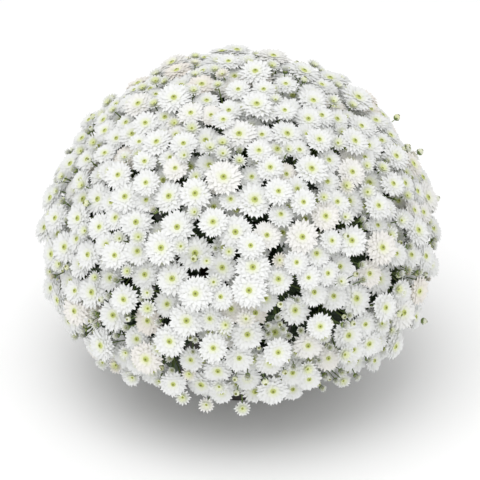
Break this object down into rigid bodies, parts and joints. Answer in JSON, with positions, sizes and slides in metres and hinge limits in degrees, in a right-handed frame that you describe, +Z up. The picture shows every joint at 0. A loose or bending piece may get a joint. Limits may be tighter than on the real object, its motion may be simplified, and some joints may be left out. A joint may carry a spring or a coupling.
{
  "type": "potted chrysanthemum",
  "caption": "Garden chrysanthemum grown as a dome of white double daisy blooms over dark lobed leaves, rooted in the soil of a plain tapered pot that it stands in.",
  "frame": {"origin": "middle of the pot's flat underside, on the surface that it stands on", "axes": "+Z up through the crown of the plant; +X and +Y level, with the pictured side towards -Y"},
  "size_m": [0.5021, 0.4897, 0.4242],
  "materials": {
    "pot": "satin",
    "soil": "matte",
    "petals": "matte",
    "leaves": "matte"
  },
  "bodies": {
    "root": {"pot": "pot", "soil": "soil", "spray_01": "petals", "spray_02": "petals", "spray_03": "petals", "spray_04": "petals", "spray_05": "petals", "spray_06": "petals", "spray_07": "petals", "spray_08": "petals", "spray_09": "petals", "spray_10": "petals", "spray_11": "petals", "spray_12": "petals", "spray_13": "petals", "spray_14": "petals", "spray_15": "petals", "spray_16": "petals", "spray_17": "petals", "spray_18": "petals", "spray_19": "petals", "spray_20": "petals", "spray_21": "petals", "spray_22": "petals", "spray_23": "petals", "spray_24": "petals", "spray_25": "petals", "spray_26": "petals", "spray_27": "petals", "spray_28": "petals", "spray_29": "petals", "spray_30": "petals", "spray_31": "petals", "spray_32": "petals", "spray_33": "petals", "spray_34": "petals", "spray_35": "petals", "spray_36": "petals", "spray_37": "petals", "spray_38": "petals", "spray_39": "petals", "spray_40": "petals", "spray_41": "petals", "spray_42": "petals", "spray_43": "petals", "spray_44": "petals", "spray_45": "petals", "stem_01": "leaves", "stem_02": "leaves", "stem_03": "leaves", "stem_04": "leaves", "stem_05": "leaves", "stem_06": "leaves", "stem_07": "leaves", "stem_08": "leaves", "stem_09": "leaves", "stem_10": "leaves", "stem_11": "leaves"}
  },
  "joints": []
}
